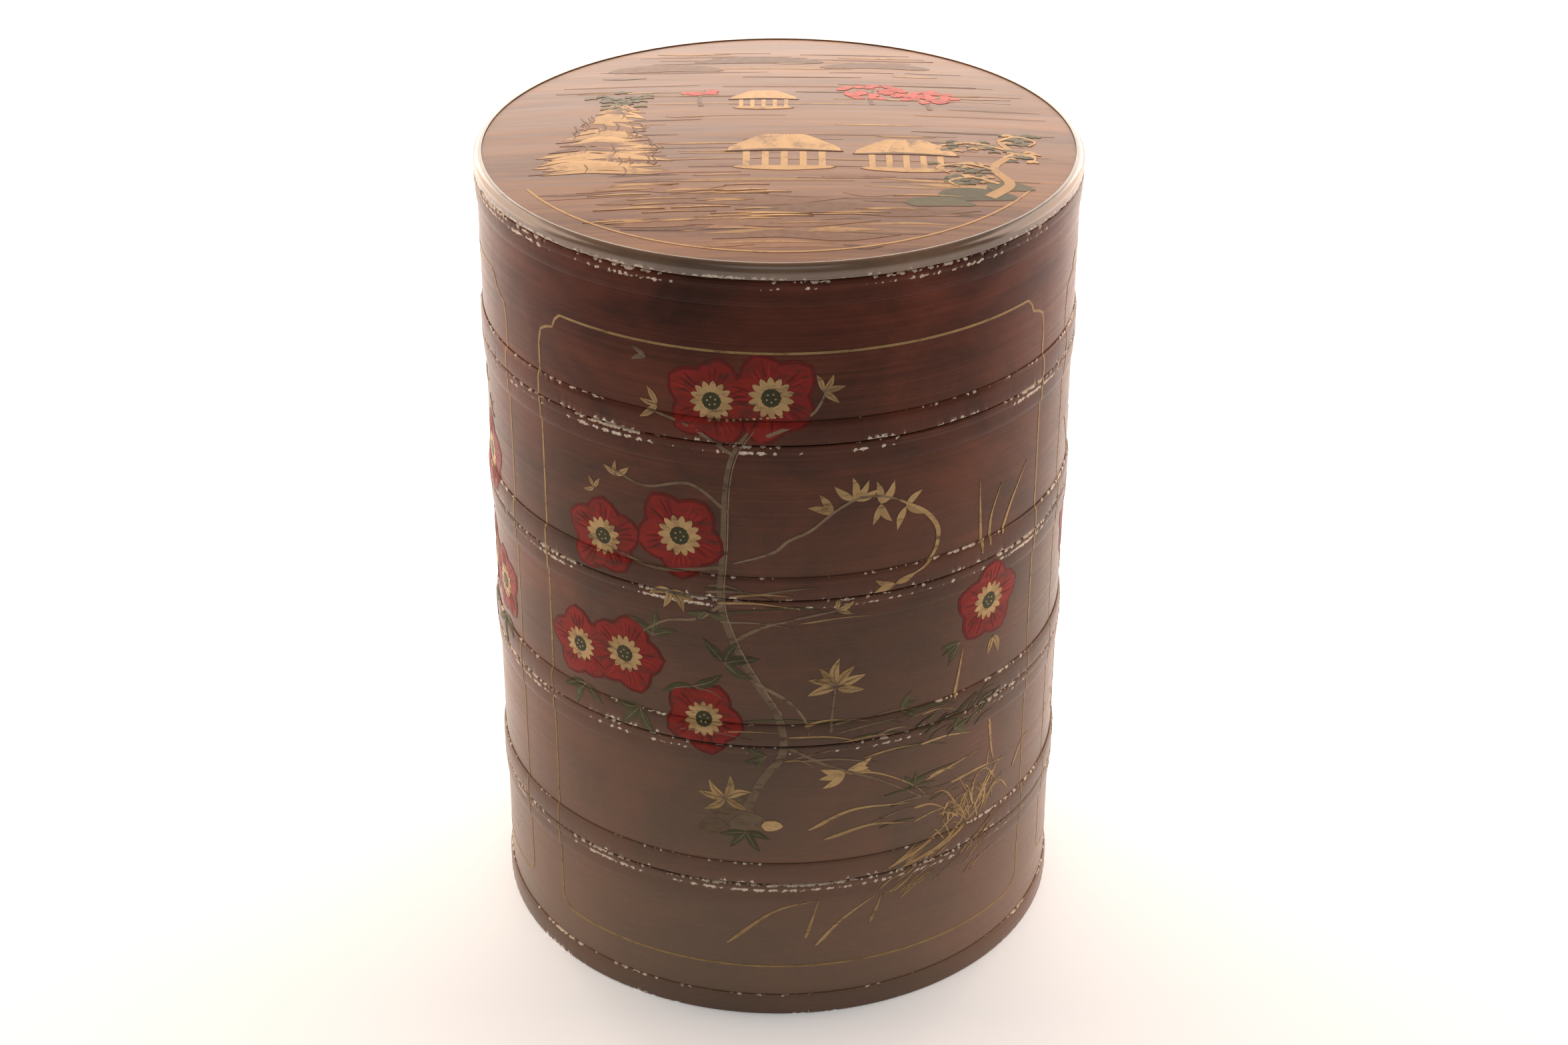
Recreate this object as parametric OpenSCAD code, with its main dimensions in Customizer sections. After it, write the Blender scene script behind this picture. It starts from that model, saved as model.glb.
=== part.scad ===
// Round stacking lacquer box: five equal trays under one shallow lid.
// Every tray is a hoop of bent wood with a floor board let into a groove,
// a glued ring that stands up as a lip, and a thin band round each edge.
// The origin is the centre of the base and +Z points up.

/* [Stack] */
// Outer diameter over the edge bands
body_d = 230; // [180:1:260]
// Height of one tray, from one joint line to the next
tier_h = 64; // [48:1:80]

/* [Wall] */
// Thickness of a tray's bent wooden wall
wall_t = 4.5; // [4:0.1:7]
// Chamfer on the wall's two ends, outside and inside
wall_chamfer = 0.3; // [0.1:0.1:0.5]

/* [Floor] */
// Thickness of a tray's floor board
floor_t = 4; // [3:0.1:7]
// Depth of the groove that holds the floor board
groove_depth = 1.6; // [1:0.1:2]

/* [Lip] */
// Thickness of the ring that forms the lip
lip_t = 2.2; // [1.8:0.1:4]
// How far the lip stands above its tray
lip_rise = 3; // [2:0.1:6]
// How far the lip ring reaches down inside its tray
lip_reach = 12; // [6:0.5:24]
// Round along the lip's top edges
lip_round = 0.6; // [0.2:0.1:0.8]

/* [Edge bands] */
// How far the bands stand proud of the wall
band_t = 1; // [0.7:0.1:2]
// Height of the band round a tray's top edge
top_band_h = 10; // [7:0.5:16]
// Height of the bead that runs along the top of that band
bead_h = 3.3; // [2.4:0.1:5]
// Depth of the line cut under the bead
bead_line = 0.3; // [0.1:0.1:0.5]
// Height of the band round a tray's foot
foot_band_h = 9.5; // [7:0.5:16]
// Round along the bands' outer edges, kept within their thickness
band_round = 0.7; // [0.3:0.1:1.2]
// Height over which a band thins out to meet the wall
band_taper_h = 2.4; // [1:0.1:4]
// Thickness left at the thin end of a band
band_edge_t = 0.35; // [0.2:0.05:0.6]

/* [Lid] */
// How far the rim's shoulder stands above the edge of the lid board
lid_bead = 0.4; // [0:0.1:1]
// Width of the rim hoop's flat seat under the lid board
lid_seat_w = 1.8; // [1.2:0.1:3]
// Thickness of the lid board at its edge
lid_board_edge_t = 1.7; // [1.2:0.1:4]
// Rise of the lid board from its edge to its middle
lid_dome = 3.6; // [1:0.1:10]
// Round along the lid's outer top edge
lid_round = 3; // [1.5:0.1:4]
// Round along the lid's bottom edge
lid_foot_round = 0.6; // [0.2:0.1:1]

/* [Fits] */
// Clearance all round a lip inside the piece above it
lip_fit = 0.4; // [0.2:0.05:1]
// Room between the top of a lip and the floor or lid board above it
lip_headroom = 0.5; // [0.3:0.1:1]
// Lacquer glue line between the pieces of one tray
glue_line = 0.1; // [0.05:0.05:0.15]
// How far each band stops short of the joint between two trays
band_gap = 0.15; // [0.1:0.05:0.3]

/* [Hidden] */

$fn = 180;
// Straight steps in a quarter round and in the lid's dome
round_steps = 6;
dome_steps = 24;

// Places in the stack, counted from the bottom
bottom = 0;
second = 1;
third = 2;
fourth = 3;
top = 4;
tray_count = 5;

// Radii shared by all the trays
band_r = body_d / 2;
wall_r = band_r - band_t;
wall_in = wall_r - wall_t;
lip_r = wall_in - glue_line;
lip_in = lip_r - lip_t;
recess_r = lip_r + lip_fit;
groove_r = wall_in + groove_depth;
floor_r = groove_r - glue_line;
band_in = wall_r + glue_line;
band_edge_r = band_in + band_edge_t;

edge_round = min(band_round, band_r - band_in - glue_line);

// Heights within one tray; the recess takes the lip of the piece below
recess_h = lip_rise + lip_headroom;
floor_top = recess_h + floor_t;

// The lid
lid_z = tray_count * tier_h;
lid_edge_h = recess_h + lid_board_edge_t + lid_bead;
lid_seat_r = recess_r + lid_seat_w;
lid_board_r = lid_seat_r - glue_line;
dome_r = (lid_board_r * lid_board_r + lid_dome * lid_dome) / (2 * lid_dome);

// Points of a quarter round about centre c, turning from angle a0 to a1
function arc_points(c, r, a0, a1) = [
    for (i = [0 : round_steps])
        let (a = a0 + (a1 - a0) * i / round_steps)
            [c[0] + r * cos(a), c[1] + r * sin(a)]
];

// Points along the lid board's domed top, from its edge to the middle
function dome_points() = [
    for (i = [0 : dome_steps])
        let (r = lid_board_r * (1 - i / dome_steps))
            [r, lid_board_edge_t + lid_dome - dome_r + sqrt(dome_r * dome_r - r * r)]
];

module ring(profile) {
    rotate_extrude() polygon(profile);
}

module at_tier(place) {
    translate([0, 0, place * tier_h]) children();
}

// Bent wooden hoop with the floor's groove and the recess for the lip below
module tray_wall(place) {
    color("saddlebrown")
    at_tier(place)
    ring([
        [recess_r + wall_chamfer, 0],
        [wall_r - wall_chamfer, 0],
        [wall_r, wall_chamfer],
        [wall_r, tier_h - wall_chamfer],
        [wall_r - wall_chamfer, tier_h],
        [wall_in + wall_chamfer, tier_h],
        [wall_in, tier_h - wall_chamfer],
        [wall_in, floor_top + glue_line],
        [groove_r, floor_top + glue_line],
        [groove_r, recess_h],
        [recess_r, recess_h],
        [recess_r, wall_chamfer]
    ]);
}

// Floor board, let into the wall's groove
module tray_floor(place) {
    color("maroon")
    at_tier(place)
    translate([0, 0, recess_h]) cylinder(r = floor_r, h = floor_t);
}

// Inner ring that stands above the wall and keeps the next piece centred
module tray_lip(place) {
    color("black")
    at_tier(place)
    ring(concat(
        [[lip_in, tier_h - lip_reach], [lip_r, tier_h - lip_reach]],
        arc_points([lip_r - lip_round, tier_h + lip_rise - lip_round], lip_round, 0, 90),
        arc_points([lip_in + lip_round, tier_h + lip_rise - lip_round], lip_round, 90, 180)
    ));
}

// Band round the top edge: a bead over a cut line, thinning out below
module tray_top_band(place) {
    bead_z = tier_h - band_gap;
    line_z = bead_z - bead_h;
    color("sienna")
    at_tier(place)
    ring(concat(
        [
            [band_in, tier_h - top_band_h],
            [band_edge_r, tier_h - top_band_h],
            [band_r - bead_line, tier_h - top_band_h + band_taper_h],
            [band_r - bead_line, line_z],
            [band_r, line_z + bead_line]
        ],
        arc_points([band_r - edge_round, bead_z - edge_round], edge_round, 0, 90),
        [[band_in, bead_z]]
    ));
}

// Band round the foot, thinning out above
module tray_foot_band(place) {
    color("sienna")
    at_tier(place)
    ring(concat(
        [[band_in, band_gap]],
        arc_points([band_r - edge_round, band_gap + edge_round], edge_round, -90, 0),
        [
            [band_r, foot_band_h - band_taper_h],
            [band_edge_r, foot_band_h],
            [band_in, foot_band_h]
        ]
    ));
}

// Shallow hoop with a rounded shoulder that carries the lid board
module lid_rim() {
    color("dimgray")
    translate([0, 0, lid_z])
    ring(concat(
        [[recess_r + wall_chamfer, 0], [band_r - lid_foot_round, 0]],
        arc_points([band_r - lid_foot_round, lid_foot_round], lid_foot_round, -90, 0),
        arc_points([band_r - lid_round, lid_edge_h - lid_round], lid_round, 0, 90),
        [
            [lid_seat_r, lid_edge_h],
            [lid_seat_r, recess_h],
            [recess_r, recess_h],
            [recess_r, wall_chamfer]
        ]
    ));
}

// Lid board: flat below, gently domed above
module lid_board() {
    color("peru")
    translate([0, 0, lid_z + recess_h])
    ring(concat([[0, 0], [lid_board_r, 0]], dome_points()));
}

tray_wall(bottom);  // bottom_tray_wall
tray_floor(bottom);  // bottom_tray_floor
tray_lip(bottom);  // bottom_tray_lip
tray_top_band(bottom);  // bottom_tray_top_band
tray_foot_band(bottom);  // bottom_tray_foot_band
tray_wall(second);  // second_tray_wall
tray_floor(second);  // second_tray_floor
tray_lip(second);  // second_tray_lip
tray_top_band(second);  // second_tray_top_band
tray_foot_band(second);  // second_tray_foot_band
tray_wall(third);  // third_tray_wall
tray_floor(third);  // third_tray_floor
tray_lip(third);  // third_tray_lip
tray_top_band(third);  // third_tray_top_band
tray_foot_band(third);  // third_tray_foot_band
tray_wall(fourth);  // fourth_tray_wall
tray_floor(fourth);  // fourth_tray_floor
tray_lip(fourth);  // fourth_tray_lip
tray_top_band(fourth);  // fourth_tray_top_band
tray_foot_band(fourth);  // fourth_tray_foot_band
tray_wall(top);  // top_tray_wall
tray_floor(top);  // top_tray_floor
tray_lip(top);  // top_tray_lip
tray_top_band(top);  // top_tray_top_band
tray_foot_band(top);  // top_tray_foot_band
lid_rim();
lid_board();
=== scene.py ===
"""Round stacking lacquer box: five trays and a domed lid, painted and worn.

Every piece is turned, drawn or bent in metres in the part's own frame, and
rides on the tray or lid that carries it.
"""
import math
import random

import bmesh
import bpy
from mathutils import Matrix, Vector, noise


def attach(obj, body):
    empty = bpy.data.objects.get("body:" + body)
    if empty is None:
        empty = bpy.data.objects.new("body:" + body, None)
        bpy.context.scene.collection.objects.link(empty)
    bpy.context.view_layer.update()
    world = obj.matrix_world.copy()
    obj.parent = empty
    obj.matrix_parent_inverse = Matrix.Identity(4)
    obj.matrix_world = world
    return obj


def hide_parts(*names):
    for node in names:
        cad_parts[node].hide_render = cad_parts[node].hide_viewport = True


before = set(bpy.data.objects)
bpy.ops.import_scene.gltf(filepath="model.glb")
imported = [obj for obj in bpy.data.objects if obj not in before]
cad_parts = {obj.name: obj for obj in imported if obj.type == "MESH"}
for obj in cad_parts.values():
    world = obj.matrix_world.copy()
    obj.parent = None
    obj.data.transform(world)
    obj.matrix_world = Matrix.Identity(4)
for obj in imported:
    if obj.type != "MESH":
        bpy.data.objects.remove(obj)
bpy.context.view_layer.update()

# Sizes of the part, in metres, as in its source
TRAYS = ["bottom_tray", "second_tray", "third_tray", "fourth_tray", "top_tray"]
TIER = 0.064
BAND_R = 0.115
WALL_R = 0.114
WALL_IN = 0.1095
GROOVE_R = 0.1111
RECESS_R = 0.1098
RECESS_H = 0.0035
FLOOR_TOP = 0.0075
WALL_EDGE = 0.0003
BAND_IN = 0.1141
BAND_EDGE_R = 0.11445
BAND_GAP = 0.00015
BAND_TAPER = 0.0024
BAND_ROUND = 0.0007
FOOT_BAND_H = 0.0095
TOP_BAND_H = 0.010
BEAD_H = 0.0033
BEAD_LINE = 0.0003
LID_Z = 0.320
LID_EDGE_H = 0.0056
LID_ROUND = 0.003
LID_FOOT_ROUND = 0.0006
LID_SEAT_R = 0.1116
LID_BOARD_R = 0.1115
LID_BOARD_EDGE = 0.0017
LID_DOME = 0.0036
DOME_R = (LID_BOARD_R ** 2 + LID_DOME ** 2) / (2 * LID_DOME)
LID_TOP = LID_Z + RECESS_H + LID_BOARD_EDGE + LID_DOME
GLUE_LINE = 0.0001
# Small step that softens the thin edges of the bands
STEP = 0.0001
# Radius that parts the plain inside of a wall from its lacquered outside
INSIDE_R = 0.1121
MM = 0.001
# Millimetres along the wall for one degree of turn
DEGREE = math.radians(BAND_R / MM)

scene = bpy.context.scene
scene.view_settings.view_transform = "Standard"


# Stage

# The photograph's viewpoint: a long lens that looks down on the box
LENS = 64.375
CAMERA_AT = (0.00223, -0.98923, 0.72117)
CAMERA_DOWN = 29.563
CAMERA_ROLL = 0.128
# Height of the point that the lamps are aimed at
AIM_Z = 0.16


def place_camera():
    data = bpy.data.cameras.new("camera")
    data.sensor_width = 36
    data.lens = LENS
    data.clip_start, data.clip_end = 0.05, 50
    camera = bpy.data.objects.new("camera", data)
    turn = Matrix.Rotation(math.radians(90 - CAMERA_DOWN), 4, "X")
    roll = Matrix.Rotation(math.radians(CAMERA_ROLL), 4, "Z")
    camera.matrix_world = Matrix.Translation(CAMERA_AT) @ turn @ roll
    scene.collection.objects.link(camera)
    scene.camera = camera


def soft_light(name, azimuth, elevation, distance, size, power, colour):
    """A square softbox aimed at the middle of the box."""
    data = bpy.data.lights.new(name, "AREA")
    data.shape = "RECTANGLE"
    data.size, data.size_y = size
    data.energy = power
    data.color = colour
    lamp = bpy.data.objects.new(name, data)
    a, e = math.radians(azimuth), math.radians(elevation)
    back = Vector((math.sin(a) * math.cos(e), -math.cos(a) * math.cos(e), math.sin(e)))
    lamp.location = Vector((0, 0, AIM_Z)) + back * distance
    lamp.rotation_mode = "QUATERNION"
    lamp.rotation_quaternion = (-back).to_track_quat("-Z", "Y")
    scene.collection.objects.link(lamp)


def light_stage():
    world = bpy.data.worlds.new("studio")
    scene.world = world
    world.use_nodes = True
    background = world.node_tree.nodes["Background"]
    background.inputs["Color"].default_value = (1, 0.97, 0.93, 1)
    background.inputs["Strength"].default_value = 0.09
    soft_light("left_softbox", -118, 20, 1.3, (1.5, 1.5), 27, (1, 0.77, 0.61))
    soft_light("right_softbox", 116, 20, 1.3, (1.5, 1.5), 27, (1, 0.77, 0.63))
    soft_light("back_softbox", 180, 17, 2.2, (3.2, 1.3), 60, (1, 0.90, 0.79))
    soft_light("front_fill", 0, 62, 2.4, (1.2, 1.2), 5, (1, 0.92, 0.84))


def lay_floor(finish):
    bm = bmesh.new()
    bmesh.ops.create_grid(bm, x_segments=1, y_segments=1, size=6)
    mesh = bpy.data.meshes.new("floor")
    bm.to_mesh(mesh)
    bm.free()
    floor = bpy.data.objects.new("floor", mesh)
    floor.data.materials.append(finish)
    scene.collection.objects.link(floor)


# Finishes

def node(tree, kind, inputs=None, **settings):
    """Adds a node. A value in inputs is set on its socket, and a socket is linked to it."""
    made = tree.nodes.new(kind)
    for key, value in settings.items():
        setattr(made, key, value)
    for key, value in (inputs or {}).items():
        if isinstance(value, bpy.types.NodeSocket):
            tree.links.new(value, made.inputs[key])
        else:
            made.inputs[key].default_value = value
    return made


def new_finish(name):
    finish = bpy.data.materials.new(name)
    finish.use_nodes = True
    tree = finish.node_tree
    tree.nodes.clear()
    output = node(tree, "ShaderNodeOutputMaterial")
    shader = node(tree, "ShaderNodeBsdfPrincipled")
    tree.links.new(shader.outputs[0], output.inputs["Surface"])
    return finish, tree, shader


def object_place(tree):
    return node(tree, "ShaderNodeTexCoord").outputs["Object"]


def grain(tree, place, stretch, detail=4.0, rough=0.6, shift=(0, 0, 0), warp=0.0):
    """Noise, finer along an axis the more its place is stretched there."""
    mapped = node(tree, "ShaderNodeMapping", {"Vector": place, "Scale": stretch, "Location": shift})
    return node(tree, "ShaderNodeTexNoise", {
        "Vector": mapped.outputs[0], "Scale": 1.0, "Detail": detail, "Roughness": rough,
        "Distortion": warp}).outputs["Fac"]


def between(tree, value, low, high, out_low=0.0, out_high=1.0):
    return node(tree, "ShaderNodeMapRange", {
        "Value": value, "From Min": low, "From Max": high,
        "To Min": out_low, "To Max": out_high}).outputs[0]


def mixed(tree, share, first, second):
    made = node(tree, "ShaderNodeMix", data_type="RGBA")
    for socket, value in ((made.inputs[0], share), (made.inputs[6], first), (made.inputs[7], second)):
        if isinstance(value, bpy.types.NodeSocket):
            tree.links.new(value, socket)
        else:
            socket.default_value = value if isinstance(value, float) else (*value, 1)
    return made.outputs[2]


def maths(tree, operation, first, second):
    return node(tree, "ShaderNodeMath", {0: first, 1: second}, operation=operation).outputs[0]


def bumped(tree, height, distance, strength):
    return node(tree, "ShaderNodeBump", {
        "Height": height, "Distance": distance, "Strength": strength}).outputs["Normal"]


def attribute(tree, name):
    return node(tree, "ShaderNodeAttribute", attribute_name=name).outputs["Fac"]


def lacquer(name, dark, warm, painted_sheen, painted_sheen_share, inside=None, ior=1.22, gloss=0.22):
    """Red-brown see-through lacquer over black: streaked along the hoop, with a painted pale sheen that grows
    low on the stack.
    """
    finish, tree, shader = new_finish(name)
    place = object_place(tree)
    streaks = grain(tree, place, (7, 7, 620), 5, 0.65)
    fine = grain(tree, place, (14, 14, 2100), 3, 0.6)
    cloud = grain(tree, place, (16, 16, 22), 4, 0.6, warp=0.6)
    height = node(tree, "ShaderNodeSeparateXYZ", {"Vector": place}).outputs["Z"]
    ground = mixed(tree, between(tree, cloud, 0.35, 0.68), dark, warm)
    ground = mixed(tree, between(tree, streaks, 0.3, 0.75, 0.0, 0.5), ground,
                   tuple(c * 0.35 for c in dark))
    ground = mixed(tree, between(tree, fine, 0.52, 0.8, 0.0, 0.3), ground,
                   tuple(c * 1.5 for c in warm))
    # Painted sheen: a pale colour mixed in towards the bottom of the stack, standing in for the reflection on
    # the lower trays.
    ground = mixed(tree, between(tree, height, 0.30, 0.02, 0.0, painted_sheen_share), ground, painted_sheen)
    rough = between(tree, streaks, 0.25, 0.75, gloss, gloss + 0.12)
    worn = attribute(tree, "worn")
    speck = grain(tree, place, (900, 900, 900), 2, 0.6)
    # Pale colour on the chipped edges: real worn-through lacquer, spread wider so that it also acts as a
    # painted highlight line along the beads and joints.
    wear_and_highlight = between(tree, maths(tree, "MULTIPLY", worn, between(tree, speck, 0.3, 0.55, 0.5, 1.2)), 0.31, 0.44)
    pale = mixed(tree, between(tree, speck, 0.35, 0.65), (0.50, 0.40, 0.30), (0.72, 0.64, 0.54))
    colour = mixed(tree, wear_and_highlight, ground, pale)
    rough = mixed(tree, wear_and_highlight, rough, (0.75, 0.75, 0.75))
    if inside:
        flat = node(tree, "ShaderNodeVectorMath", {0: place, 1: (1, 1, 0)}, operation="MULTIPLY")
        radius = node(tree, "ShaderNodeVectorMath", {0: flat.outputs[0]}, operation="LENGTH").outputs["Value"]
        within = maths(tree, "LESS_THAN", radius, INSIDE_R)
        colour = mixed(tree, within, colour, inside)
    tree.links.new(colour, shader.inputs["Base Color"])
    tree.links.new(rough, shader.inputs["Roughness"])
    swell = grain(tree, place, (38, 38, 16), 2, 0.5)
    height_map = maths(tree, "ADD", maths(tree, "MULTIPLY", swell, 1.0),
                       maths(tree, "MULTIPLY", streaks, 0.12))
    tree.links.new(bumped(tree, height_map, 0.0006, 0.6), shader.inputs["Normal"])
    shader.inputs["IOR"].default_value = ior
    return finish


def paint(name, deep, light, ground, rub, metallic=0.0):
    """Brushed lacquer paint: each stroke has its own tone, and it is rubbed through in places."""
    finish, tree, shader = new_finish(name)
    place = object_place(tree)
    tone = attribute(tree, "tone")
    brush = grain(tree, place, (260, 260, 260), 3, 0.6)
    rubbed = grain(tree, place, (110, 110, 420), 5, 0.7)
    share = maths(tree, "ADD", maths(tree, "MULTIPLY", tone, 0.75), maths(tree, "MULTIPLY", brush, 0.4))
    colour = mixed(tree, between(tree, share, 0.15, 0.95), deep, light)
    colour = mixed(tree, between(tree, rubbed, rub - 0.05, rub + 0.12, 0.0, 0.85), colour, ground)
    tree.links.new(colour, shader.inputs["Base Color"])
    tree.links.new(bumped(tree, brush, 0.0001, 0.6), shader.inputs["Normal"])
    shader.inputs["Metallic"].default_value = metallic
    shader.inputs["Roughness"].default_value = 0.42
    shader.inputs["IOR"].default_value = 1.25
    return finish


def plain_lacquer(name, colour, second, rough):
    finish, tree, shader = new_finish(name)
    place = object_place(tree)
    cloud = grain(tree, place, (22, 22, 22), 4, 0.6)
    rubs = grain(tree, place, (500, 60, 500), 4, 0.7, warp=0.4)
    shade = mixed(tree, between(tree, cloud, 0.35, 0.7), colour, second)
    rubbed = tuple(c * 1.9 + 0.01 for c in second)
    shade = mixed(tree, between(tree, rubs, 0.6, 0.75, 0.0, 0.35), shade, rubbed)
    tree.links.new(shade, shader.inputs["Base Color"])
    tree.links.new(between(tree, rubs, 0.3, 0.7, rough - 0.06, rough + 0.1), shader.inputs["Roughness"])
    tree.links.new(bumped(tree, cloud, 0.0005, 0.4), shader.inputs["Normal"])
    shader.inputs["IOR"].default_value = 1.42
    return finish


def lid_ground(name):
    """Brown ground of the lid picture, brushed from side to side."""
    finish, tree, shader = new_finish(name)
    place = object_place(tree)
    bands = grain(tree, place, (5, 70, 1), 6, 0.68, warp=0.5)
    lines = grain(tree, place, (16, 520, 1), 4, 0.6, shift=(3, 0, 0))
    cloud = grain(tree, place, (18, 30, 1), 3, 0.5, shift=(0, 7, 0))
    shade = mixed(tree, between(tree, bands, 0.32, 0.68), (0.13, 0.046, 0.024), (0.37, 0.165, 0.072))
    shade = mixed(tree, between(tree, cloud, 0.42, 0.7, 0.0, 0.35), shade, (0.21, 0.115, 0.085))
    shade = mixed(tree, between(tree, lines, 0.5, 0.72, 0.0, 0.38), shade, (0.54, 0.29, 0.12))
    shade = mixed(tree, between(tree, lines, 0.42, 0.25, 0.0, 0.3), shade, (0.08, 0.028, 0.016))
    tree.links.new(shade, shader.inputs["Base Color"])
    tree.links.new(between(tree, lines, 0.3, 0.7, 0.30, 0.42), shader.inputs["Roughness"])
    tree.links.new(bumped(tree, bands, 0.0004, 0.3), shader.inputs["Normal"])
    shader.inputs["IOR"].default_value = 1.28
    return finish


def floor_finish():
    finish, tree, shader = new_finish("pale_floor")
    cloud = grain(tree, object_place(tree), (3, 3, 3), 2, 0.5)
    tree.links.new(mixed(tree, cloud, (0.83, 0.87, 0.91), (0.86, 0.90, 0.94)), shader.inputs["Base Color"])
    shader.inputs["Roughness"].default_value = 0.6
    shader.inputs["Emission Color"].default_value = (0.95, 0.98, 1, 1)
    shader.inputs["Emission Strength"].default_value = 0.24
    return finish


# Turned pieces

def arc(cx, cz, radius, start, stop, steps=5):
    """Points of a quarter round in an outline, from one angle to another."""
    angles = [math.radians(start + (stop - start) * i / steps) for i in range(steps + 1)]
    return [(cx + radius * math.cos(a), cz + radius * math.sin(a)) for a in angles]


def turned(outline, turns):
    """Turns a closed outline of (radius, height) points once round the stack's axis."""
    bm = bmesh.new()
    verts = [bm.verts.new((r, 0, z)) for r, z in outline]
    edges = [bm.edges.new(ends) for ends in zip(verts, verts[1:] + verts[:1])]
    bmesh.ops.spin(bm, geom=verts + edges, cent=(0, 0, 0), axis=(0, 0, 1),
                   angle=math.tau, steps=turns, use_merge=True)
    bmesh.ops.remove_doubles(bm, verts=bm.verts, dist=1e-6)
    bmesh.ops.recalc_face_normals(bm, faces=bm.faces)
    return bm


def raise_by(bm, height):
    bmesh.ops.translate(bm, verts=bm.verts, vec=(0, 0, height))
    return bm


def chip(bm, ridges, seed, amount):
    """Knocks small chips out of turned edges. A ridge is (radius, height, reach, depth)."""
    worn = bm.verts.layers.float.get("worn") or bm.verts.layers.float.new("worn")
    shift = Vector((seed * 7.3, seed * 3.1, seed * 1.7))
    for v in bm.verts:
        r = math.hypot(v.co.x, v.co.y)
        for ridge_r, ridge_z, reach, depth in ridges:
            gap = math.hypot(r - ridge_r, v.co.z - ridge_z)
            if gap > reach:
                continue
            small = noise.noise(v.co * 620 + shift)
            cluster = noise.noise(v.co * 34 + shift)
            bite = max(0.0, min(1.0, (small + cluster * 0.9 + amount) * 2.2)) * (1 - gap / reach) ** 0.5
            if bite > 0.02:
                v.co.x -= v.co.x / r * depth * bite
                v.co.y -= v.co.y / r * depth * bite
                v[worn] = max(v[worn], bite)
    return bm


def finished(bm, name, body, finish, replaced=()):
    """Makes a piece of a mesh: shaded, finished, riding on its body."""
    for face in bm.faces:
        face.smooth = True
    for edge in bm.edges:
        edge.smooth = len(edge.link_faces) == 2 and edge.calc_face_angle(0) < math.radians(38)
    mesh = bpy.data.meshes.new(name)
    bm.to_mesh(mesh)
    bm.free()
    mesh.materials.append(finish)
    piece = bpy.data.objects.new(name, mesh)
    scene.collection.objects.link(piece)
    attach(piece, body)
    if replaced:
        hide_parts(*replaced)
    return piece


def wall_outline():
    e = WALL_EDGE
    top = TIER
    return [
        (RECESS_R + e, 0), (WALL_R - e, 0), (WALL_R, e), (WALL_R, top * 0.25), (WALL_R, top * 0.5),
        (WALL_R, top * 0.75), (WALL_R, top - e), (WALL_R - e, top), (WALL_IN + e, top),
        (WALL_IN, top - e), (WALL_IN, FLOOR_TOP + GLUE_LINE), (GROOVE_R, FLOOR_TOP + GLUE_LINE),
        (GROOVE_R, RECESS_H), (RECESS_R, RECESS_H), (RECESS_R, e)]


def foot_band_outline():
    r = BAND_ROUND
    return (
        [(BAND_IN, BAND_GAP)]
        + arc(BAND_R - r, BAND_GAP + r, r, -90, 0)
        + [(BAND_R, 0.0035), (BAND_R, FOOT_BAND_H - BAND_TAPER),
           (BAND_R - 0.0002, FOOT_BAND_H - BAND_TAPER * 0.55), (BAND_EDGE_R + 0.00008, FOOT_BAND_H - 0.0003),
           (BAND_EDGE_R, FOOT_BAND_H - STEP), (BAND_EDGE_R - STEP, FOOT_BAND_H),
           (BAND_IN, FOOT_BAND_H)])


def top_band_outline():
    r = BAND_ROUND
    low = TIER - TOP_BAND_H
    bead_top = TIER - BAND_GAP
    line = bead_top - BEAD_H
    return (
        [(BAND_IN, low), (BAND_EDGE_R - STEP, low), (BAND_EDGE_R, low + STEP),
         (BAND_EDGE_R + 0.00008, low + 0.0004), (BAND_R - BEAD_LINE, low + BAND_TAPER),
         (BAND_R - BEAD_LINE, line - 0.0012), (BAND_R - BEAD_LINE, line),
         (BAND_R - 0.00008, line + BEAD_LINE * 0.8), (BAND_R, line + BEAD_LINE + STEP),
         (BAND_R, line + 0.0016)]
        + arc(BAND_R - r, bead_top - r, r, 0, 90)
        + [(BAND_IN, bead_top)])


def lid_rim_outline():
    top = LID_EDGE_H
    return (
        [(RECESS_R + WALL_EDGE, 0), (BAND_R - LID_FOOT_ROUND, 0)]
        + arc(BAND_R - LID_FOOT_ROUND, LID_FOOT_ROUND, LID_FOOT_ROUND, -90, 0)[1:]
        + [(BAND_R, 0.0012), (BAND_R, 0.0019)]
        + arc(BAND_R - LID_ROUND, top - LID_ROUND, LID_ROUND, 0, 90, 9)
        + [(LID_SEAT_R, top), (LID_SEAT_R, RECESS_H), (RECESS_R, RECESS_H), (RECESS_R, WALL_EDGE)])


def dome_height(r):
    return LID_TOP - DOME_R + math.sqrt(DOME_R ** 2 - r ** 2)


def lid_board_outline():
    steps = 24
    under = LID_Z + RECESS_H
    radii = [LID_BOARD_R * (1 - i / steps) for i in range(steps + 1)]
    return [(0, under), (LID_BOARD_R, under)] + [(r, dome_height(r)) for r in radii]


# Painted pieces

# How far the back of the paint is sunk into the wall, in millimetres
PAINT_SINK = 0.12
# Lowest and highest paint on a tray, from its foot, in millimetres
PAINT_FOOT = 0.5
PAINT_HEAD = 63.5
# Width of a brush mark along its length, from 0 at its start to 1 at its end
MARKS = {
    "petal": lambda t: math.sin(math.pi * t ** 0.72) ** 0.55,
    "leaf": lambda t: math.sin(math.pi * t ** 0.8),
    "blade": lambda t: (1 - t) ** 0.75 * min(1.0, 0.35 + t * 5),
    "twig": lambda t: (1 - 0.55 * t) * min(1.0, 0.5 + 10 * (1 - t)),
    "line": lambda t: 1.0,
    "dot": lambda t: math.sqrt(max(0.0, 1 - (2 * t - 1) ** 2)),
    "band": lambda t: math.sin(math.pi * t) ** 0.4,
}


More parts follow.
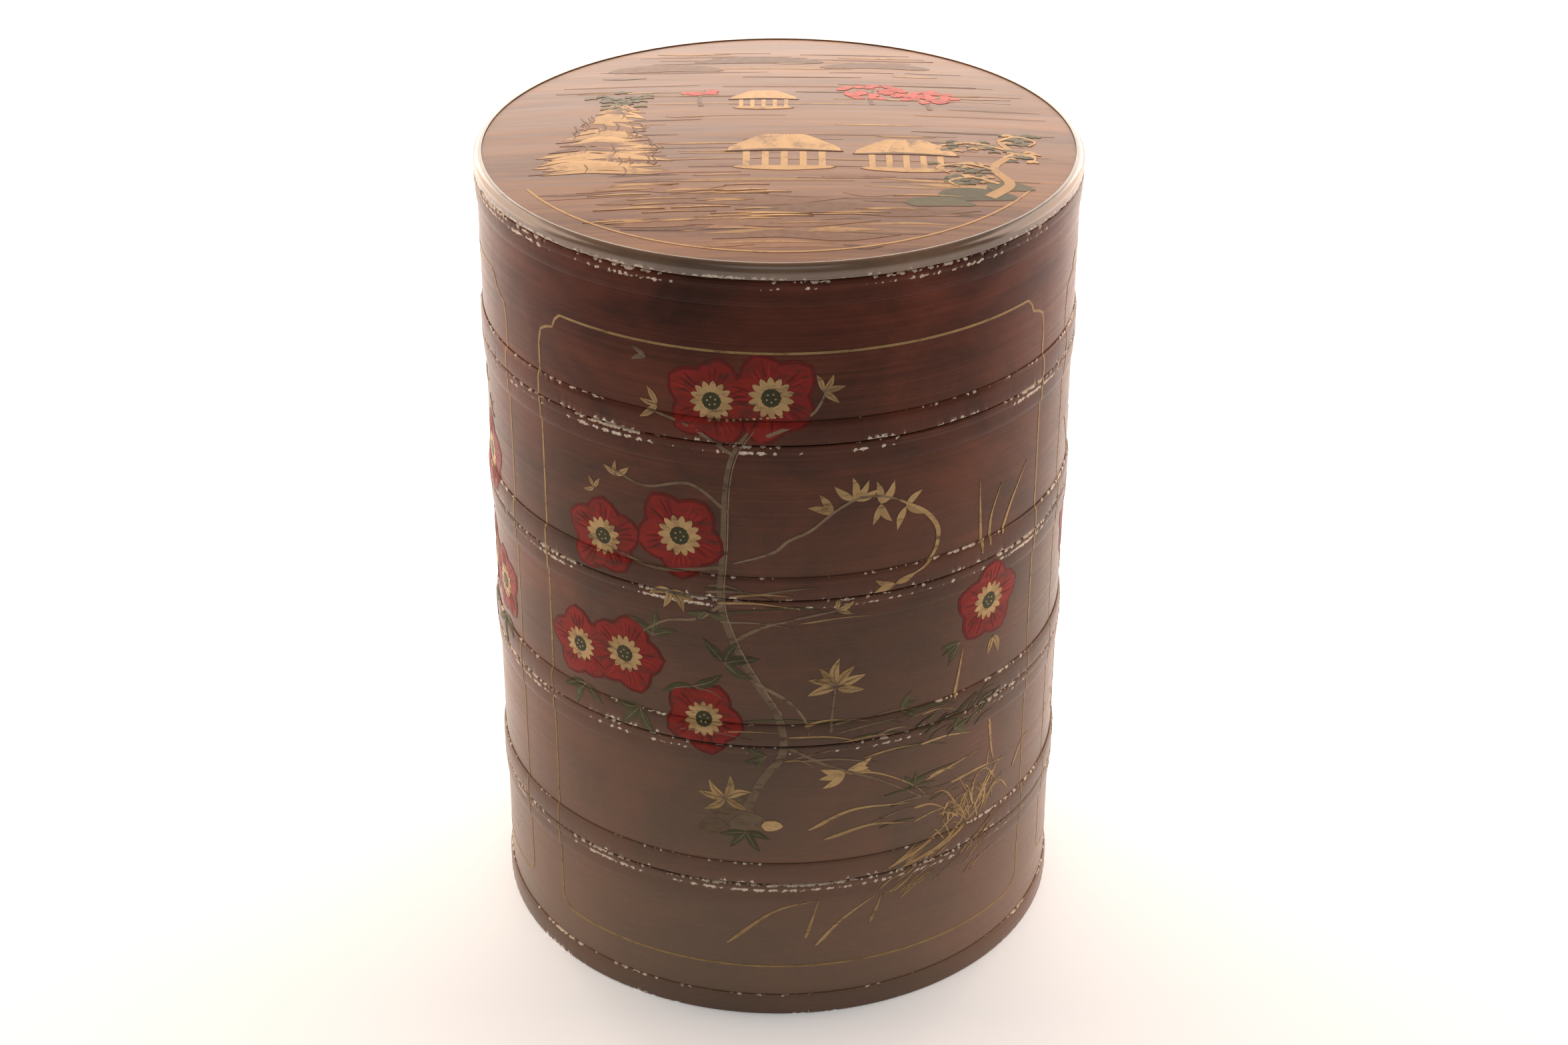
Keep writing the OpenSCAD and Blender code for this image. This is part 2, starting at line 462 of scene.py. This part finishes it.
def along(points, t):
    """A point and its direction at share t of a smooth path through the points."""
    count = len(points) - 1
    i = min(int(t * count), count - 1)
    u = t * count - i
    p1, p2 = Vector(points[i]), Vector(points[i + 1])
    p0 = Vector(points[i - 1]) if i else p1 * 2 - p2
    p3 = Vector(points[i + 2]) if i + 2 <= count else p2 * 2 - p1
    spot = 0.5 * (2 * p1 + (p2 - p0) * u + (2 * p0 - 5 * p1 + 4 * p2 - p3) * u ** 2
                  + (3 * p1 - p0 - 3 * p2 + p3) * u ** 3)
    way = 0.5 * ((p2 - p0) + 2 * (2 * p0 - 5 * p1 + 4 * p2 - p3) * u
                 + 3 * (3 * p1 - p0 - 3 * p2 + p3) * u ** 2)
    return spot, way.normalized() if way.length > 1e-9 else Vector((1, 0))


class Canvas:
    """Flat brush marks of one paint, in millimetres, before they go on the box."""

    def __init__(self):
        self.bm = bmesh.new()
        self.bm.verts.layers.float.new("tone")
        self.bm.verts.layers.float.new("lift")
        self.layer = 0

    def mark(self, path, width, kind="blade", tone=0.5, lift=0.10, across=2, cell=2.2):
        """One brush mark along a path of (x, y) points."""
        points = [Vector(p) for p in path]
        length = sum((b - a).length for a, b in zip(points, points[1:]))
        steps = max(3, min(90, int(math.ceil(length / cell))))
        if kind in ("petal", "dot", "leaf"):
            steps = max(steps, 7)
        mark = bmesh.new()
        tones = mark.verts.layers.float.new("tone")
        lifts = mark.verts.layers.float.new("lift")
        bmesh.ops.create_grid(mark, x_segments=steps, y_segments=across, size=0.5)
        self.layer = (self.layer + 1) % 12
        for v in mark.verts:
            t, side = v.co.x + 0.5, v.co.y
            spot, way = along(points, t)
            half = width * MARKS[kind](min(1, max(0, t)))
            spot = spot + Vector((-way.y, way.x)) * side * half
            v.co = (spot.x, spot.y, 0)
            v[tones] = tone
            v[lifts] = lift + self.layer * 0.004
        bmesh.ops.remove_doubles(mark, verts=mark.verts, dist=1e-4)
        mesh = bpy.data.meshes.new("mark")
        mark.to_mesh(mesh)
        mark.free()
        self.bm.from_mesh(mesh)
        bpy.data.meshes.remove(mesh)


def cut(bm, height, keep=None):
    """Cuts flat marks along a level line. keep names the side that stays, if one goes."""
    up = Vector((0, 1, 0))
    bmesh.ops.bisect_plane(
        bm, geom=bm.verts[:] + bm.edges[:] + bm.faces[:], dist=1e-5, plane_co=up * height,
        plane_no=up, clear_inner=keep == "above", clear_outer=keep == "below")


def thicken(bm, place):
    """Gives flat marks their thickness, then sends each point to its place on the box."""
    lifts = bm.verts.layers.float["lift"]
    grown = bmesh.ops.extrude_face_region(bm, geom=bm.faces[:])["geom"]
    raised = {v for v in grown if isinstance(v, bmesh.types.BMVert)}
    for v in bm.verts:
        v.co = place(v.co.x, v.co.y, v[lifts] if v in raised else -PAINT_SINK)
    bmesh.ops.recalc_face_normals(bm, faces=bm.faces)
    return bm


# The trays' outer skin: (height, radius) in millimetres, from the foot to the top of one tray
SKIN = [
    (0.15, 114.3), (0.35, 114.75), (0.85, 115.0), (7.1, 115.0), (8.2, 114.8), (9.4, 114.45), (9.52, 114.0),
    (53.98, 114.0), (54.1, 114.45), (56.4, 114.7), (60.55, 114.7), (60.9, 115.0),
    (63.15, 115.0), (63.65, 114.75), (63.85, 114.3)]


def skin_radius(height):
    for (z0, r0), (z1, r1) in zip(SKIN, SKIN[1:]):
        if height <= z1:
            return r0 + (r1 - r0) * max(0.0, (height - z0) / (z1 - z0))
    return SKIN[-1][1]


def on_tray(bm, tier):
    """The part of the wall painting that lies on one tray, bent round it."""
    low = tier * TIER / MM
    cut(bm, low + PAINT_FOOT, "above")
    cut(bm, low + PAINT_HEAD, "below")
    if not bm.faces:
        return None
    for height, _ in SKIN[2:-2]:
        cut(bm, low + height)

    def place(x, y, lift):
        angle = math.radians(x / DEGREE)
        radius = (skin_radius(y - low) + lift) * MM
        return Vector((radius * math.sin(angle), -radius * math.cos(angle), y * MM))

    return thicken(bm, place)


def on_lid(bm):
    def place(x, y, lift):
        radius = math.hypot(x, y) * MM
        return Vector((x * MM, y * MM, dome_height(min(radius, LID_BOARD_R)) + lift * MM))

    return thicken(bm, place)


def flower(red, gold, green, x, y, size, turn):
    """A five-petalled blossom seen from the front, with a ring of stamens."""
    tone = 0.55

    def ray(angle, near, far):
        a = math.radians(angle)
        way = Vector((math.cos(a), math.sin(a)))
        return [Vector((x, y)) + way * near, Vector((x, y)) + way * (near + far) / 2,
                Vector((x, y)) + way * far]

    for i in range(5):
        angle = turn + 72 * i + draw.uniform(-5, 5)
        reach = size * draw.uniform(0.94, 1.04)
        red.mark(ray(angle, size * 0.12, reach), size * 0.98, "petal", tone - 0.42, 0.08, across=4)
        red.mark(ray(angle, size * 0.15, reach * 0.93), size * 0.84, "petal",
                 tone + draw.uniform(-0.08, 0.1), 0.13, across=4)
        for side in (-16, -6, 5, 15):
            red.mark(ray(angle + side, size * 0.42, reach * draw.uniform(0.72, 0.86)), size * 0.05,
                     "leaf", tone + draw.choice((-0.35, 0.3)), 0.19)
    for i in range(14):
        angle = turn + 360 / 14 * i
        gold.mark(ray(angle, size * 0.17, size * 0.45), size * 0.15, "petal",
                  draw.uniform(0.45, 0.85), 0.2)
    green.mark([(x - size * 0.2, y), (x, y), (x + size * 0.2, y)], size * 0.38, "dot", 0.2, 0.26, across=4)
    for i in range(5):
        a = math.radians(turn + 72 * i + 20)
        spot = (x + size * 0.09 * math.cos(a), y + size * 0.09 * math.sin(a))
        gold.mark([(spot[0] - 0.4, spot[1]), spot, (spot[0] + 0.4, spot[1])], 0.7, "dot", 0.7, 0.33)


def leaf(paint_on, vein_on, x, y, length, angle, bend, tone):
    """A pointed leaf from its stalk at (x, y), with a vein if vein_on is given."""
    a = math.radians(angle)
    way, off = Vector((math.cos(a), math.sin(a))), Vector((-math.sin(a), math.cos(a)))
    start = Vector((x, y))
    middle = start + way * length * 0.5 + off * length * bend
    end = start + way * length
    paint_on.mark([start, middle, end], length * 0.3, "leaf", tone, 0.1)
    if vein_on:
        vein = [start, middle, start + way * length * 0.86]
        vein_on.mark(vein, max(0.35, length * 0.04), "twig", 0.6, 0.18)


def cluster(paint_on, vein_on, x, y, length, angles, tone):
    """Leaves that spring from one point."""
    for angle in angles:
        leaf(paint_on, vein_on, x, y, length * draw.uniform(0.85, 1.1), angle,
             draw.uniform(-0.12, 0.12), tone + draw.uniform(-0.2, 0.2))


# Turn of the front panel's middle, and from one panel to the next, in degrees
PANEL_MIDDLE = 4.5
PANEL_PITCH = 120


def wall_panel(red, gold, green, brown, middle, mirror):
    """One framed panel of blossoms, leaves and grasses on the wall, about an angle in degrees."""
    side = -1 if mirror else 1

    def at(angle, height):
        return ((middle + side * (angle - PANEL_MIDDLE)) * DEGREE, height)

    def path(*spots):
        return [at(*spot) for spot in spots]

    def turned_by(angle):
        return 180 - angle if mirror else angle

    # Frame line with stepped corners
    left, right, low, high = -49.5, 58.5, 23.5, 292.0
    for edge, way in ((left, 1), (right, -1)):
        corner = [(edge, 150), (edge, 262), (edge, 277), (edge + 0.7 * way, 283), (edge + 2.3 * way, 285),
                  (edge + 4.2 * way, 286.2), (edge + 4.9 * way, 289.5), (edge + 6.3 * way, high)]
        for start, stop in zip(corner, corner[1:]):
            gold.mark(path(start, stop), 0.95, "line", 0.3, 0.07, across=1)
        gold.mark(path((edge, 30), (edge, 90), (edge, 150)), 0.8, "line", 0.2, 0.07, across=1)
        foot = [(edge, 30), (edge + 1.2 * way, 25.5), (edge + 4 * way, low)]
        gold.mark(path(*foot), 0.85, "line", 0.25, 0.07, across=1)
    for height, inset in ((high, 6.3), (low, 4.0)):
        span = [left + inset + (right - left - 2 * inset) * i / 12 for i in range(13)]
        gold.mark([at(a, height) for a in span], 0.95, "line", 0.3, 0.07, across=1)

    # Old trunk and its twigs
    trunk = [(-6, 98), (-3, 112), (1, 126), (0, 142), (-4, 156), (-8, 172), (-10.5, 190), (-10, 214),
             (-9.5, 238), (-8, 252), (-5, 262)]
    brown.mark(path(*trunk), 3.4, "twig", 0.4, 0.09)
    brown.mark(path(*[(a + 0.8, h) for a, h in trunk[3:]]), 0.7, "twig", 0.9, 0.16)
    twigs = [
        [(-8, 174), (-3, 180), (3, 184), (11, 187)], [(-10, 190), (-15, 182), (-21, 179), (-26, 172)],
        [(-4, 156), (2, 148), (5, 140), (6, 133)], [(-9, 228), (-16, 238), (-25, 234), (-32, 238)],
        [(-10, 205), (-22, 201), (-33, 204)], [(-2, 260), (6, 268), (9, 279)],
        [(2, 128), (10, 118), (20, 108), (30, 94)], [(-8, 252), (-16, 262), (-24, 266)]]
    for twig in twigs:
        brown.mark(path(*twig), 1.5, "twig", draw.uniform(0.4, 0.8), 0.12)
    # Arching spray on the second panel height
    spray = [(-8, 207), (-1, 212), (2, 217), (6, 221), (11, 229), (16, 233), (22, 230), (28, 222), (31, 212),
             (29, 201), (21, 194)]
    brown.mark(path(*spray), 1.5, "blade", 0.75, 0.12)
    gold.mark(path(*spray[6:]), 1.9, "leaf", 0.6, 0.16)
    for angle, height, turns in ((14, 232, (20, 55, 95, 140)), (19, 229, (60, 100, 250, 300)),
                                 (24, 226, (40, 330, 250)), (22, 195, (160, 200, 20)), (10, 227, (120, 160))):
        cluster(gold, None, *at(angle, height), 9.5, [turned_by(a) for a in turns], 0.5)

    # Leaves behind the blossoms
    for angle, height, length, turns, on in (
            (8, 277, 8, (-40, 10, 60, 110), gold), (-24, 171, 12, (150, 80, 20), green),
            (-10, 164, 13, (10, 60, -30, 130), green), (-16, 152, 13, (-20, 30, 200), green),
            (-31, 235, 7, (40, 90, 150), gold), (-36, 227, 6, (60, 120, 200), gold),
            (-20, 193, 10, (200, 250, 300, 340), gold), (-40, 139, 12, (200, 250, 330), green),
            (-27, 138, 13, (180, 230, 300), green), (37, 160, 10, (180, 240, 200), green),
            (46, 156, 9, (250, 290), gold), (11, 187, 7, (-20, 30, 80), gold),
            (-22, 268, 8, (120, 170, 220), gold), (-24, 286, 6, (150, 200), brown)):
        cluster(on, brown, *at(angle, height), length, [turned_by(a) for a in turns], 0.45)

    # Star of leaves on the third panel height, and the yellow spray below it
    star = (85, 50, 20, -12, 160, 195, 125)
    brown.mark(path((10, 134), (10.5, 145), (11, 156)), 1.1, "twig", 0.6, 0.12)
    cluster(gold, brown, *at(11, 153), 12.5, [turned_by(a) for a in star], 0.45)
    cluster(gold, None, *at(13, 114), 11, [turned_by(a) for a in (5, 30, 165, 190, 215, 350)], 0.75)
    gold.mark(path((14, 114), (20, 111), (27, 102), (31, 93)), 0.9, "blade", 0.6, 0.14)

    # Thin dry stems that lean along the lower joints
    for near, far, first, last, count in (
            (120, 139, -20, 30, 24), (181, 198, -26, 4, 10), (84, 104, 14, 38, 16)):
        for i in range(count):
            angle, height = draw.uniform(first, last), draw.uniform(near, far)
            reach, drop = draw.uniform(6, 16), draw.uniform(-7, 4)
            stem = path((angle, height), (angle + reach / 2, height + drop / 3 + 1.2),
                        (angle + reach, height + drop))
            (brown, green, gold)[i % 3].mark(
                stem, draw.uniform(0.6, 1.3), "blade", draw.uniform(0.25, 0.85), 0.13)
    for angle, height, length, turns in ((24, 138, 8, (20, 60, -30)), (-2, 124, 9, (200, 240, 150)),
                                         (27, 101, 8, (30, 80, 120)), (-13, 186, 8, (-20, 230, 190)),
                                         (36, 122, 8, (10, 330, 60))):
        cluster(green, brown, *at(angle, height), length, [turned_by(a) for a in turns], 0.6)

    # Blossoms
    for angle, height, size, turn in (
            (-11.8, 272.5, 16, 8), (-1.2, 274.8, 16.5, 40), (-34.3, 208, 15.5, 20), (-18.2, 216, 17, 55),
            (-41, 156, 14.5, 30), (-30.2, 159.5, 16, 5), (-14, 138.5, 15, 66), (44.3, 173, 16, 15)):
        flower(red, gold, green, *at(angle, height), size * 1.12, turn)
    for i in range(9):
        x, y = at(-9 + i * 1.2, 265.5 + 0.25 * i)
        gold.mark([(x - 0.6, y), (x, y), (x + 0.6, y)], 0.8, "dot", 0.9, 0.3)

    # Rock with leaves at the foot of the trunk
    for angle, height, length, width, tone in (
            (-9, 98, 19, 11, 0.2), (-5, 91, 17, 8, 0.35), (-12, 88, 13, 7, 0.15)):
        x, y = at(angle, height)
        brown.mark([(x - length / 2, y - 2), (x, y + 2), (x + length / 2, y - 1)], width, "petal",
                   tone, 0.08, across=4)
    x, y = at(-1, 91)
    gold.mark([(x - 4.2, y), (x, y + 0.4), (x + 4.2, y)], 5, "petal", 1.0, 0.15, across=4)
    cluster(gold, brown, *at(-10, 103), 10, [turned_by(a) for a in (20, 80, 130, 170, 215, 330)], 0.45)
    cluster(green, brown, *at(-6, 88), 10, [turned_by(a) for a in (190, 230, 300, 340)], 0.4)

    # Grasses
    blades = [
        [(41.5, 196), (41, 212), (40.5, 228)], [(43.5, 198), (44, 210), (46.5, 222)],
        [(47, 200), (50, 212), (54.5, 225)], [(6, 89), (15, 96.5), (27, 94)], [(9, 84), (18, 88), (26, 85)],
        [(-10, 34), (-1, 50), (8, 56)], [(5.5, 37), (7, 47), (8.2, 56)], [(7.5, 33), (13, 45), (20.5, 55)],
        [(18.5, 41), (20, 48), (21, 55)], [(22, 66), (32, 74), (42, 86)], [(24, 64), (36, 72), (47, 90)],
        [(30, 66), (40, 74), (51, 88)], [(46, 118), (47, 104), (48, 96)], [(36, 136), (37, 146), (38, 158)]]
    for blade in blades:
        gold.mark(path(*blade), 1.7, "blade", draw.uniform(0.35, 0.7), 0.13)
    for i in range(46):
        a, h = 42 + draw.gauss(0, 5.0), 80 + draw.gauss(0, 5.5)
        lean, reach = draw.uniform(-7, 8), draw.uniform(6, 15)
        tip = (a + lean, h + reach * draw.uniform(0.3, 1))
        gold.mark(path((a, h), (a + lean * 0.5, h + reach * 0.6), tip),
                  draw.uniform(0.6, 1.2), "blade", draw.uniform(0.2, 0.8), 0.13)
    for i in range(26):
        a, h = draw.uniform(22, 50), draw.uniform(52, 72)
        gold.mark(path((a - 3, h - 4), (a, h), (a + draw.uniform(2, 5), h + draw.uniform(2, 6))),
                  draw.uniform(0.5, 1.0), "blade", draw.uniform(0.1, 0.55), 0.12)
    for i in range(22):
        a, h = draw.uniform(28, 47), draw.uniform(122, 134)
        tuft = path((a - 2, h - 3), (a, h), (a + 3, h + draw.uniform(-2, 4)))
        green.mark(tuft, 0.9, "blade", draw.random(), 0.12)


def lake_picture(red, gold, green, brown):
    """The lid's painting: a crag, pavilions, maples and a pine by a lake."""
    # Water and banks, brushed from side to side
    for i in range(120):
        y = draw.uniform(-100, 92)
        reach = math.sqrt(104 ** 2 - y ** 2)
        x = draw.uniform(-reach, reach * 0.7)
        end = min(reach, x + draw.uniform(14, 70))
        lean = draw.uniform(-2.5, 3.5) if y < -30 else draw.uniform(-0.8, 0.8)
        in_brown = draw.random() < 0.6
        on, tone = (brown, draw.uniform(0.0, 0.9)) if in_brown else (gold, draw.uniform(0.05, 0.5))
        on.mark([(x, y), ((x + end) / 2, y + lean), (end, y + lean * 0.4)],
                draw.uniform(0.5, 1.9) if y > -30 else draw.uniform(0.8, 3.2), "leaf", tone, 0.04, cell=5)
    # Far hills
    for x, y, wide, high, tone in ((-45, 70, 46, 9, 0.35), (-8, 80, 52, 8, 0.2), (38, 74, 44, 7, 0.3)):
        brown.mark([(x - wide / 2, y), (x, y + high * 0.4), (x + wide / 2, y)], high, "band",
                   tone, 0.05, across=3)
    # Crag with terraces on the left
    for i in range(70):
        share = i / 69
        y = 30 - 66 * share
        wide = 7 + 34 * share + draw.uniform(-4, 4)
        x = -60 - 6 * share + draw.uniform(-1, 1) * (3 + 7 * share)
        in_gold = draw.random() < 0.72
        on, tone = (gold, draw.uniform(0.45, 1.0)) if in_gold else (brown, draw.uniform(0.2, 0.8))
        on.mark([(x - wide / 2, y - draw.uniform(0, 3)), (x - wide / 8, y + draw.uniform(0.5, 3)),
                 (x + wide / 5, y - draw.uniform(0, 2)), (x + wide / 2, y - draw.uniform(1, 4))],
                draw.uniform(2.0, 4.6), "leaf", tone, 0.09, cell=3)
    for i in range(30):
        x, y = draw.uniform(-78, -46), draw.uniform(-32, 24)
        crack = [(x, y), (x + 1.5, y - 4), (x + 0.5, y - 8)]
        brown.mark(crack, 0.9, "blade", draw.uniform(0.1, 0.7), 0.17)
    for i in range(26):
        px, py = -60 + draw.gauss(0, 6), 34 + draw.gauss(0, 4)
        green.mark([(px - 2.6, py), (px, py + 1.4), (px + 2.6, py)], draw.uniform(1.6, 2.6), "petal",
                   draw.uniform(0.2, 0.9), 0.14)
    # Thatched pavilions: roof, eave, posts and floor
    for x, y, size in ((2, -20, 1.0), (47, -22, 0.9), (-6, 34, 0.62)):
        for i in range(9):
            lean = (i - 4) / 4
            gold.mark([(x + lean * 5 * size, y + 18 * size), (x + lean * 12 * size, y + 9 * size),
                       (x + lean * 21 * size, y + 2 * size)], 7.0 * size, "band", 0.7 + 0.1 * (i % 3), 0.1)
        brown.mark([(x - 22 * size, y + 1.5 * size), (x, y + 3 * size), (x + 22 * size, y + 1.5 * size)],
                   1.6 * size, "leaf", 0.2, 0.17)
        for post in (-14, -7, 0, 7, 14):
            gold.mark([(x + post * size, y + 1 * size), (x + post * size, y - 6 * size),
                       (x + post * size, y - 13 * size)], 2.6 * size, "line", 0.8, 0.1)
        gold.mark([(x - 19 * size, y - 13 * size), (x, y - 14 * size), (x + 19 * size, y - 13 * size)],
                  4.2 * size, "band", 0.75, 0.13)
    # Maples in red
    for x, y, count, spread in ((36, 44, 34, 10), (58, 40, 30, 9), (-30, 42, 10, 5)):
        brown.mark([(x, y - 14), (x - 1, y - 6), (x + 1, y + 4)], 2.0, "twig", 0.3, 0.08)
        for i in range(count):
            a, r = draw.uniform(0, math.tau), spread * math.sqrt(draw.random())
            px, py = x + r * 1.25 * math.cos(a), y + r * 0.8 * math.sin(a)
            red.mark([(px - 2.2, py), (px, py + 0.7), (px + 2.2, py)], draw.uniform(2.2, 3.8), "petal",
                     draw.uniform(0.4, 1.0), 0.12)
    # Pine on the right bank, with scrolling boughs
    gold.mark([(76, -56), (84, -44), (79, -30), (86, -16), (82, -4)], 4.6, "twig", 0.5, 0.12)
    for x, y, reach in ((80, -32, -22), (83, -20, 12), (84, -12, -24), (82, -4, 14), (80, -44, -18)):
        bough = [(x, y), (x + reach * 0.5, y + 5), (x + reach, y + 1), (x + reach * 0.8, y - 4)]
        gold.mark(bough, 1.5, "twig", 0.8, 0.17)
        for i in range(20):
            px, py = x + reach * draw.uniform(0.15, 1.05), y + draw.uniform(-4, 6)
            in_green = draw.random() < 0.7
            on, tone = (green, draw.uniform(0.1, 0.8)) if in_green else (gold, draw.uniform(0.4, 0.9))
            needles = [(px - 2.4, py), (px, py + 1.4), (px + 2.4, py)]
            on.mark(needles, draw.uniform(1.4, 2.4), "petal", tone, 0.14)
    for x, y, wide, high in ((72, -56, 30, 11), (58, -63, 26, 8), (84, -48, 18, 8)):
        green.mark([(x - wide / 2, y), (x, y + 2), (x + wide / 2, y)], high, "petal",
                   draw.uniform(0.2, 0.5), 0.09, across=4)
    # Near bank
    for x, y, wide, high, tone in ((-20, -62, 90, 9, 0.5), (30, -70, 84, 9, 0.35), (-10, -80, 92, 8, 0.6),
                                   (10, -91, 66, 6, 0.45), (-46, -52, 54, 6, 0.7)):
        bank = [(x - wide / 2, y - 2), (x - wide / 6, y + 2), (x + wide / 5, y - 1), (x + wide / 2, y + 2)]
        brown.mark(bank, high, "leaf", tone, 0.06, across=3, cell=4)
    for i in range(34):
        x, y = draw.uniform(-60, 60), draw.uniform(-84, -48)
        gold.mark([(x - draw.uniform(5, 16), y), (x, y + 1.2), (x + draw.uniform(5, 16), y + 0.6)],
                  draw.uniform(0.6, 1.4), "leaf", draw.uniform(0.3, 0.8), 0.13, cell=4)
    # Fine line round the front of the picture
    turns = [math.radians(a) for a in range(-62, 63, 4)]
    ring = [(103 * math.sin(a), -103 * math.cos(a)) for a in turns]
    gold.mark(ring, 0.9, "line", 0.7, 0.08, across=1, cell=3)


def paint_wall(finishes):
    canvases = [Canvas() for _ in finishes]
    for places, mirror in ((0, False), (1, True), (-1, True)):
        wall_panel(*canvases, PANEL_MIDDLE + places * PANEL_PITCH, mirror)
    for canvas, (word, finish) in zip(canvases, finishes):
        for tier, tray in enumerate(TRAYS):
            bent = on_tray(canvas.bm.copy(), tier)
            if bent:
                finished(bent, f"{tray}_{word}", tray, finish)
        canvas.bm.free()


def paint_lid(finishes):
    canvases = [Canvas() for _ in finishes]
    lake_picture(*canvases)
    for canvas, (word, finish) in zip(canvases, finishes):
        finished(on_lid(canvas.bm), f"lid_painting_{word}", "lid", finish)


# Building

# Steps in a full turn: few on plain pieces, many on edges that are chipped
WIDE_TURNS = 384
FINE_TURNS = 1100

draw = random.Random(27)
place_camera()
light_stage()
lay_floor(floor_finish())

INSIDE_RED = (0.26, 0.022, 0.012)
# The third colour and its share are a painted pale sheen towards the bottom of the stack.
wall_finish = lacquer("wall_lacquer", (0.042, 0.011, 0.006), (0.17, 0.042, 0.021), (0.27, 0.195, 0.14),
                      0.62, INSIDE_RED)
band_finish = lacquer("band_lacquer", (0.038, 0.011, 0.006), (0.15, 0.039, 0.021), (0.23, 0.165, 0.12), 0.6)
# The rim's pale browns are partly its worn lacquer and partly a painted highlight along the rounded bead.
rim_highlight_finish = lacquer("rim_lacquer", (0.13, 0.080, 0.052), (0.28, 0.18, 0.12), (0.15, 0.11, 0.08), 0.0,
                     ior=1.75, gloss=0.16)
lip_finish = plain_lacquer("lip_lacquer", (0.010, 0.008, 0.007), (0.026, 0.018, 0.014), 0.32)
inside_finish = plain_lacquer("inside_lacquer", INSIDE_RED, (0.36, 0.035, 0.018), 0.34)
WALL_BROWN = (0.060, 0.026, 0.016)
LID_BROWN = (0.20, 0.10, 0.06)

for tier, tray in enumerate(TRAYS):
    low = tier * TIER
    finished(raise_by(turned(wall_outline(), WIDE_TURNS), low), f"{tray}_hoop", tray,
             wall_finish, [f"{tray}_wall"])
    foot = raise_by(turned(foot_band_outline(), FINE_TURNS), low)
    chip(foot, [(BAND_R - 0.0002, low + BAND_GAP + 0.0002, 0.0007, 0.00045),
                (BAND_EDGE_R, low + FOOT_BAND_H, 0.0007, 0.0003)], tier + 1, -0.12)
    finished(foot, f"{tray}_worn_foot_band", tray, band_finish, [f"{tray}_foot_band"])
    head = raise_by(turned(top_band_outline(), FINE_TURNS), low)
    chip(head, [(BAND_R - 0.0002, low + TIER - BAND_GAP - 0.0002, 0.0008, 0.0005),
                (BAND_R, low + TIER - BAND_GAP - BEAD_H + BEAD_LINE, 0.0006, 0.0003)], tier + 11, -0.02)
    finished(head, f"{tray}_worn_top_band", tray, band_finish, [f"{tray}_top_band"])
    for piece, finish in (("floor", inside_finish), ("lip", lip_finish)):
        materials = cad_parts[f"{tray}_{piece}"].data.materials
        materials.clear()
        materials.append(finish)

rim = raise_by(turned(lid_rim_outline(), FINE_TURNS), LID_Z)
chip(rim, [(BAND_R - 0.0001, LID_Z + 0.0003, 0.0011, 0.0005)], 31, 0.05)
finished(rim, "lid_worn_rim", "lid", rim_highlight_finish, ["lid_rim"])
finished(turned(lid_board_outline(), WIDE_TURNS), "lid_domed_board", "lid",
         lid_ground("lid_ground"), ["lid_board"])

paint_wall([
    ("blossoms", paint("wall_red_paint", (0.085, 0.006, 0.004), (0.36, 0.026, 0.018), WALL_BROWN, 0.55)),
    ("gold_sprays", paint("wall_gold_paint", (0.18, 0.11, 0.04), (0.56, 0.38, 0.18), WALL_BROWN, 0.58, 0.15)),
    ("green_leaves", paint("wall_green_paint", (0.022, 0.026, 0.012), (0.12, 0.12, 0.05), WALL_BROWN, 0.6)),
    ("twigs", paint("wall_brown_paint", (0.09, 0.062, 0.036), (0.30, 0.21, 0.135), WALL_BROWN, 0.56))])
paint_lid([
    ("red", paint("lid_red_paint", (0.34, 0.03, 0.02), (0.70, 0.11, 0.085), LID_BROWN, 0.60)),
    ("gold", paint("lid_gold_paint", (0.34, 0.18, 0.06), (0.76, 0.47, 0.20), LID_BROWN, 0.58)),
    ("green", paint("lid_green_paint", (0.055, 0.048, 0.022), (0.20, 0.17, 0.075), LID_BROWN, 0.68)),
    ("brown", paint("lid_brown_paint", (0.075, 0.028, 0.016), (0.42, 0.21, 0.11), LID_BROWN, 0.64))])
